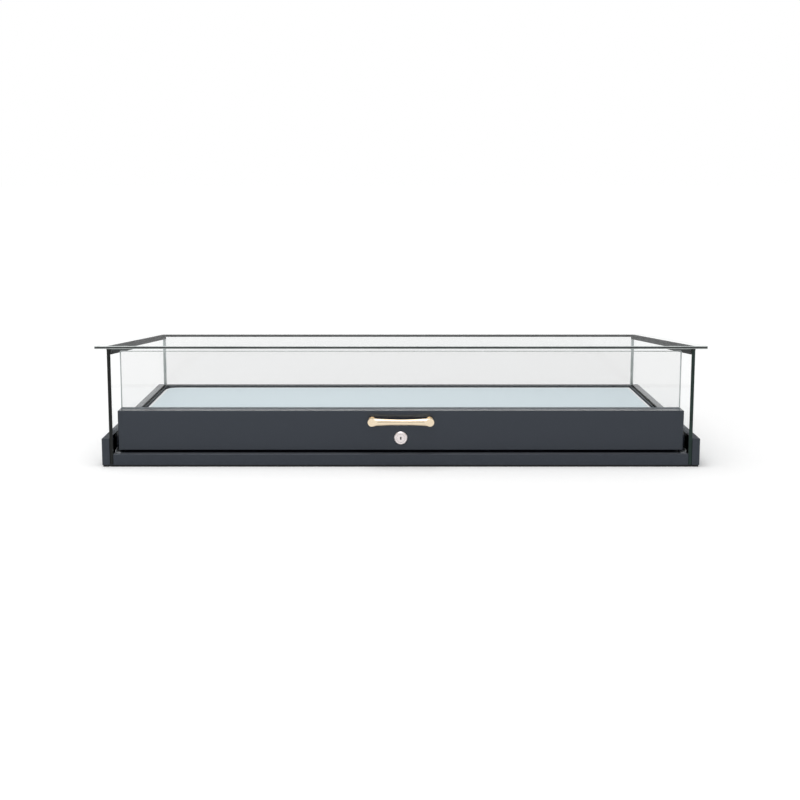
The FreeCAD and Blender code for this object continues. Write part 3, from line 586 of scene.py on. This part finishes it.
# Glass panes: faces see-through; the edges are opaque, with tones of painted light and shade: some darker
# for their shade and the rest pale
TOP_SLOPE = math.radians(5.33)
TOP_ACROSS = Vector((0.0, math.sin(TOP_SLOPE), math.cos(TOP_SLOPE)))
TOP_ALONG = Vector((0.0, math.cos(TOP_SLOPE), -math.sin(TOP_SLOPE)))
FRONTWARD = Vector((0.0, -1.0, 0.0))
SIDEWAYS = Vector((1.0, 0.0, 0.0))
UPWARD = Vector((0.0, 0.0, 1.0))
FACE_ALIGNMENT = 0.9
EDGE_ALIGNMENT = 0.6


def paint_pane(name, across, edges, face, least=EDGE_ALIGNMENT):
    """Give each facet of a pane its look.

    across is square to the pane, and edges pair a direction with a look.
    """
    mesh = nodes[name].data
    mesh.materials.clear()
    for material in [face, pale_edge] + [look for direction, look in edges]:
        mesh.materials.append(material)
    for facet in mesh.polygons:
        if abs(facet.normal.dot(across)) > FACE_ALIGNMENT:
            facet.material_index = 0
            continue
        facet.material_index = 1
        for number, (direction, look) in enumerate(edges, start=2):
            if facet.normal.dot(direction) > least:
                facet.material_index = number


paint_pane("side_glass_left", SIDEWAYS, [(FRONTWARD, black_edge)], side_face)
paint_pane("side_glass_right", SIDEWAYS, [(FRONTWARD, teal_edge)], side_face)
paint_pane("back_glass", FRONTWARD, [], looks["clear_glass"])
paint_pane("front_glass", FRONTWARD, [(UPWARD, grey_edge)], looks["clear_glass"])
top_edges = [(-TOP_ALONG, shaded_front_edge), (TOP_ALONG, top_face), (SIDEWAYS, top_face), (-SIDEWAYS, top_face)]
paint_pane("top_glass", TOP_ACROSS, top_edges, top_face, least=FACE_ALIGNMENT)


# Pieces
def new_piece(name, work, body, materials, smooth=True):
    """A visible piece from a bmesh, riding on a body."""
    mesh = bpy.data.meshes.new(name)
    bmesh.ops.recalc_face_normals(work, faces=work.faces)
    work.to_mesh(mesh)
    work.free()
    for polygon in mesh.polygons:
        polygon.use_smooth = smooth
    for material in materials:
        mesh.materials.append(material)
    piece = bpy.data.objects.new(name, mesh)
    bpy.context.scene.collection.objects.link(piece)
    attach(piece, body)
    return piece


def to_disc(a, b):
    """A point of the square of half width 1, moved onto the disc of radius 1."""
    return a * math.sqrt(1.0 - b * b / 2.0), b * math.sqrt(1.0 - a * a / 2.0)


def skin(work, grid):
    """Faces over a grid of vertices, each with its column and row."""
    faces = []
    for i in range(len(grid) - 1):
        for j in range(len(grid[0]) - 1):
            face = work.faces.new((grid[i][j], grid[i + 1][j], grid[i + 1][j + 1], grid[i][j + 1]))
            faces.append((i, j, face))
    return faces


def border(grid):
    """The outermost entries of a grid, in order round it."""
    last_column, last_row = len(grid) - 1, len(grid[0]) - 1
    there = [grid[i][0] for i in range(last_column)] + [grid[last_column][j] for j in range(last_row)]
    back = [grid[i][last_row] for i in range(last_column, 0, -1)]
    return there + back + [grid[0][j] for j in range(last_row, 0, -1)]


def join_rings(work, first, second):
    """Faces between two rings of as many vertices."""
    count = len(first)
    faces = []
    for k in range(count):
        following = (k + 1) % count
        faces.append(work.faces.new((first[k], first[following], second[following], second[k])))
    return faces


# Deck pad: a cloth-covered pad wrapped over the deck board
PAD_LOW, PAD_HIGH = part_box("deck_cover")
PAD_MIDDLE = [(low + high) / 2.0 for low, high in zip(PAD_LOW, PAD_HIGH)]
PAD_HALF = [(high - low) / 2.0 for low, high in zip(PAD_LOW, PAD_HIGH)]
PAD_SHOULDER = 2.2 * MM
PAD_CROWN = 0.45 * MM
CROWN_REACH = 35.0 * MM
PAD_SKIRT = 1.9 * MM
PAD_CELLS = (40, 20)
HIGHLIGHT_RINGS = 6
BOARD_TOP = 43.03 * MM
NEAR_EDGE = [part * MM for part in (0.0, 0.15, 0.5, 1.1, 2.2, 3.4, 6.0, 12.0, 20.0, 30.0)]
CORNERS = {(-1, -1): 4.0 * MM, (1, -1): 4.0 * MM, (1, 1): 5.0 * MM, (-1, 1): 28.0 * MM}


def grid_lines(axis):
    """Places across the pad along an axis, close together near both edges."""
    low, high, cells = PAD_LOW[axis], PAD_HIGH[axis], PAD_CELLS[axis]
    reach = NEAR_EDGE[-1]
    step = (high - low - 2.0 * reach) / cells
    middle = [low + reach + step * k for k in range(1, cells)]
    return [low + d for d in NEAR_EDGE] + middle + [high - d for d in reversed(NEAR_EDGE)]


def rounded(x, y):
    """The point moved inwards where it lies in a corner, so that the outline is round there."""
    for (sign_x, sign_y), radius in CORNERS.items():
        corner_x = PAD_HIGH[0] if sign_x > 0 else PAD_LOW[0]
        corner_y = PAD_HIGH[1] if sign_y > 0 else PAD_LOW[1]
        centre_x, centre_y = corner_x - sign_x * radius, corner_y - sign_y * radius
        a, b = sign_x * (x - centre_x) / radius, sign_y * (y - centre_y) / radius
        if a > 0.0 and b > 0.0:
            a, b = to_disc(a, b)
            return centre_x + sign_x * radius * a, centre_y + sign_y * radius * b
    return x, y


def pad_height(x, y):
    """Height of the pad's top: a round shoulder and a low crown."""
    depth = min(x - PAD_LOW[0], PAD_HIGH[0] - x, y - PAD_LOW[1], PAD_HIGH[1] - y)
    shoulder = PAD_HIGH[2] - PAD_CROWN
    if depth < PAD_SHOULDER:
        drop = PAD_SHOULDER - math.sqrt(PAD_SHOULDER ** 2 - (PAD_SHOULDER - depth) ** 2)
        return shoulder - drop
    swell = 1.0 - math.exp(-(depth - PAD_SHOULDER) / CROWN_REACH)
    return shoulder + PAD_CROWN * swell


def drawn_in(work, outline, inset, height):
    """A ring of vertices on the pad's outline, drawn in by an inset, at a height."""
    ring = []
    for x, y in outline:
        place_x = PAD_MIDDLE[0] + (x - PAD_MIDDLE[0]) * (1.0 - inset / PAD_HALF[0])
        place_y = PAD_MIDDLE[1] + (y - PAD_MIDDLE[1]) * (1.0 - inset / PAD_HALF[1])
        ring.append(work.verts.new((place_x, place_y, height)))
    return ring


def make_pad(columns, rows, edge_highlight):
    work = bmesh.new()
    top = []
    for x in columns:
        top.append([work.verts.new((*rounded(x, y), pad_height(x, y))) for y in rows])
    last_cell = (len(columns) - 2, len(rows) - 2)
    # Painted highlight: the top's outer rings, and below them the whole wrap, take the pale edge cloth
    # along the pad's rounded edge
    for i, j, face in skin(work, top):
        ring = min(i, j, last_cell[0] - i, last_cell[1] - j)
        face.material_index = 1 if ring < HIGHLIGHT_RINGS else 0
    upper = border(top)
    outline = [vertex.co.to_2d() for vertex in upper]
    base = PAD_LOW[2]
    wrap = [
        (0.05 * MM, base + 2.2 * MM),
        (0.18 * MM, base + 1.0 * MM),
        (0.10 * MM, base + 0.35 * MM),
        (0.60 * MM, base + 0.02 * MM),
        (1.40 * MM, base + 0.10 * MM),
        (PAD_SKIRT, base + 0.60 * MM),
        (PAD_SKIRT, BOARD_TOP),
    ]
    for inset, height in wrap:
        lower = drawn_in(work, outline, inset, height)
        for face in join_rings(work, upper, lower):
            face.material_index = 1
        upper = lower
    work.faces.new(upper)
    pad = new_piece("deck_pad", work, "drawer", (looks["deck_fabric"], edge_highlight))
    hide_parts("deck_cover")


# Deck board: cut to the pad's outline, so that its corners stay under the cloth
BOARD_INSET = 2.0 * MM
BOARD_ARRIS = 0.4 * MM


def make_board(columns, rows):
    low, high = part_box("deck_board")
    outline = border([[rounded(x, y) for y in rows] for x in columns])
    work = bmesh.new()
    profile = (
        (BOARD_INSET + BOARD_ARRIS, low[2]),
        (BOARD_INSET, low[2] + BOARD_ARRIS),
        (BOARD_INSET, high[2] - BOARD_ARRIS),
        (BOARD_INSET + BOARD_ARRIS, high[2]),
    )
    rings = [drawn_in(work, outline, inset, height) for inset, height in profile]
    for below, above in zip(rings, rings[1:]):
        join_rings(work, below, above)
    work.faces.new(rings[0])
    work.faces.new(rings[-1])
    board = new_piece("deck_core_board", work, "drawer", (looks["deck_core"],), smooth=False)
    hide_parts("deck_board")


# Pale edge cloth for the pad's rim: a painted highlight where its rounded edge would catch light
edge_highlight_cloth = deck_fabric("deck_edge_highlight_cloth", tone=(0.90, 0.93, 0.94), pale=(0.93, 0.95, 0.96))
pad_columns, pad_rows = grid_lines(0), grid_lines(1)
make_pad(pad_columns, pad_rows, edge_highlight_cloth)
make_board(pad_columns, pad_rows)

# Small screws: cross-recessed pan heads
SCREW_CELLS = 12
RECESS_REACH = 0.55
RECESS_HALF = 0.12
RECESS_DEPTH = 0.7
HEAD_FALL = 0.45


def screw_head(work, seat, outward, radius, height):
    """A low pan head with a cross recess, standing on its seat and facing outward."""
    turn = outward.to_track_quat("Z", "Y").to_matrix()
    dome = []
    flat = []
    for i in range(SCREW_CELLS + 1):
        dome.append([])
        flat.append([])
        for j in range(SCREW_CELLS + 1):
            a, b = 2.0 * i / SCREW_CELLS - 1.0, 2.0 * j / SCREW_CELLS - 1.0
            in_arm = min(abs(a), abs(b)) < RECESS_HALF and max(abs(a), abs(b)) < RECESS_REACH
            x, y = to_disc(a, b)
            lift = height * (1.0 - HEAD_FALL * (x * x + y * y) ** 2)
            if in_arm:
                lift -= RECESS_DEPTH * height
            dome[i].append(work.verts.new(seat + turn @ Vector((radius * x, radius * y, lift))))
            flat[i].append(seat + turn @ Vector((radius * x, radius * y, 0.0)))
    skin(work, dome)
    foot = [work.verts.new(place) for place in border(flat)]
    join_rings(work, border(dome), foot)
    work.faces.new(foot)


def screw_set(name, body, seats, radius, height):
    """One piece with a screw head on each seat, a place and the way that the head faces."""
    work = bmesh.new()
    for place, outward in seats:
        screw_head(work, Vector(place), Vector(outward), radius, height)
    new_piece(name, work, body, (looks["zinc_steel"],))


SLIDE_HEIGHT = 28.0 * MM
OUTER_SLIDE_FACE = 478.5 * MM
OUTER_SLIDE_ROW = (-189.0 * MM, -4.0 * MM, 181.0 * MM)
INNER_SLIDE_FACE = 471.0 * MM
INNER_SLIDE_ROW = (-169.0 * MM, 16.0 * MM, 201.0 * MM)
PANEL_UNDERSIDE = 3.0 * MM
PANEL_SIDE = 472.0 * MM
PANEL_SIDE_ROW = (-192.5 * MM, 0.0, 192.5 * MM)
PANEL_BACK = 247.0 * MM
PANEL_BACK_ROW = (-300.0 * MM, 0.0, 300.0 * MM)
DOWNWARD = (0, 0, -1)
outer_seats = []
inner_seats = []
panel_seats = []
for side in (-1, 1):
    for y in OUTER_SLIDE_ROW:
        outer_seats.append(((side * OUTER_SLIDE_FACE, y, SLIDE_HEIGHT), (-side, 0, 0)))
    for y in INNER_SLIDE_ROW:
        inner_seats.append(((side * INNER_SLIDE_FACE, y, SLIDE_HEIGHT), (side, 0, 0)))
    for y in PANEL_SIDE_ROW:
        panel_seats.append(((side * PANEL_SIDE, y, PANEL_UNDERSIDE), DOWNWARD))
for x in PANEL_BACK_ROW:
    panel_seats.append(((x, PANEL_BACK, PANEL_UNDERSIDE), DOWNWARD))
screw_set("outer_slide_screws", "base", outer_seats, radius=3.2 * MM, height=0.45 * MM)
screw_set("inner_slide_screws", "drawer", inner_seats, radius=2.7 * MM, height=0.45 * MM)
screw_set("base_panel_screws", "base", panel_seats, radius=3.4 * MM, height=1.6 * MM)
